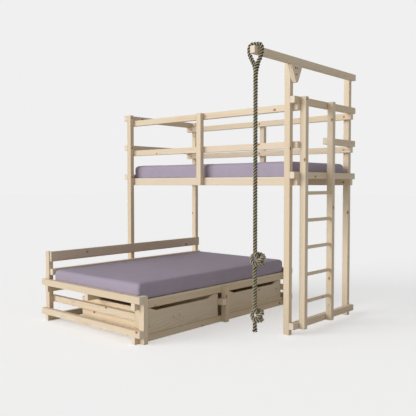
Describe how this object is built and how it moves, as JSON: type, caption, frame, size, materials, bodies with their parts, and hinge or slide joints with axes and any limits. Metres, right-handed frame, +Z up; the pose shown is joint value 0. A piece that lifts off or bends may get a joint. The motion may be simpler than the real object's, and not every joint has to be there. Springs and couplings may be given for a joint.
{
  "type": "corner bunk bed",
  "caption": "Corner bunk bed of squared timber: a loft bed with ladder, guard rails and climbing rope crosses a wide low bed with drawers.",
  "frame": {"origin": "on the floor, under the middle of the bed's box without the rope", "axes": "+X along the loft bed from the wall side to the ladder, +Y along the low bed towards the loft bed, +Z up"},
  "size_m": [2.25, 2.192, 2.3895],
  "materials": {
    "pine": "pale, oiled, smooth",
    "slat_wood": "raw planed",
    "drawer_front_wood": "pale, oiled, smooth",
    "drawer_board": "satin",
    "mattress_fabric": "plain lilac cotton",
    "hemp_rope": "laid natural fibre",
    "bolt_steel": "zinc plated",
    "slide_metal": "powder coated"
  },
  "bodies": {
    "frame": {"backrest_board": "pine", "bolts_and_inserts": "bolt_steel", "climbing_beam": "pine", "climbing_beam_gusset": "pine", "drawer_beam_1": "pine", "drawer_beam_2": "pine", "drawer_beam_3": "pine", "drawer_beam_4": "pine", "drawer_beam_blocks": "pine", "drawer_slide_channels": "slide_metal", "end_beam_far_low": "pine", "end_beam_far_top": "pine", "end_beam_near_low": "pine", "end_beam_near_top": "pine", "end_rail_left_low": "pine", "end_rail_left_slat": "pine", "end_rail_left_top": "pine", "end_rail_right_low": "pine", "end_rail_right_slat": "pine", "end_rail_right_top": "pine", "floor_rail_drawer_side": "pine", "floor_rail_wall_side": "pine", "foot_tie_beam": "pine", "guard_post_back": "pine", "guard_post_front": "pine", "guard_rail_back_low": "pine", "guard_rail_back_top": "pine", "guard_rail_front_low": "pine", "guard_rail_front_top": "pine", "ladder_rail_left": "pine", "ladder_rail_right": "pine", "ladder_rungs": "pine", "lower_mattress": "mattress_fabric", "lower_slat_base": "slat_wood", "mattress_stop_rail": "pine", "post_corner": "pine", "post_far_drawer_side": "pine", "post_left_front": "pine", "post_middle_drawer_side": "pine", "post_near_drawer_side": "pine", "post_near_wall_side": "pine", "post_right_back": "pine", "post_right_front": "pine", "rope": "hemp_rope", "rope_knots": "hemp_rope", "slat_rail_back": "pine", "slat_rail_drawer_side": "pine", "slat_rail_front": "pine", "slat_rail_middle": "pine", "slat_rail_wall_side": "pine", "upper_mattress": "mattress_fabric", "upper_slat_base": "slat_wood"},
    "drawer_near": {"drawer_near_front": "drawer_front_wood", "drawer_near_box": "drawer_board", "drawer_near_bottom": "drawer_board", "drawer_near_slide_angles": "slide_metal"},
    "drawer_far": {"drawer_far_front": "drawer_front_wood", "drawer_far_box": "drawer_board", "drawer_far_bottom": "drawer_board", "drawer_far_slide_angles": "slide_metal"}
  },
  "joints": [
    {"name": "drawer_near_slide", "type": "slide", "parent": "frame", "child": "drawer_near", "axis": [1, 0, 0], "range_m": [0, 0.65]},
    {"name": "drawer_far_slide", "type": "slide", "parent": "frame", "child": "drawer_far", "axis": [1, 0, 0], "range_m": [0, 0.65]}
  ]
}
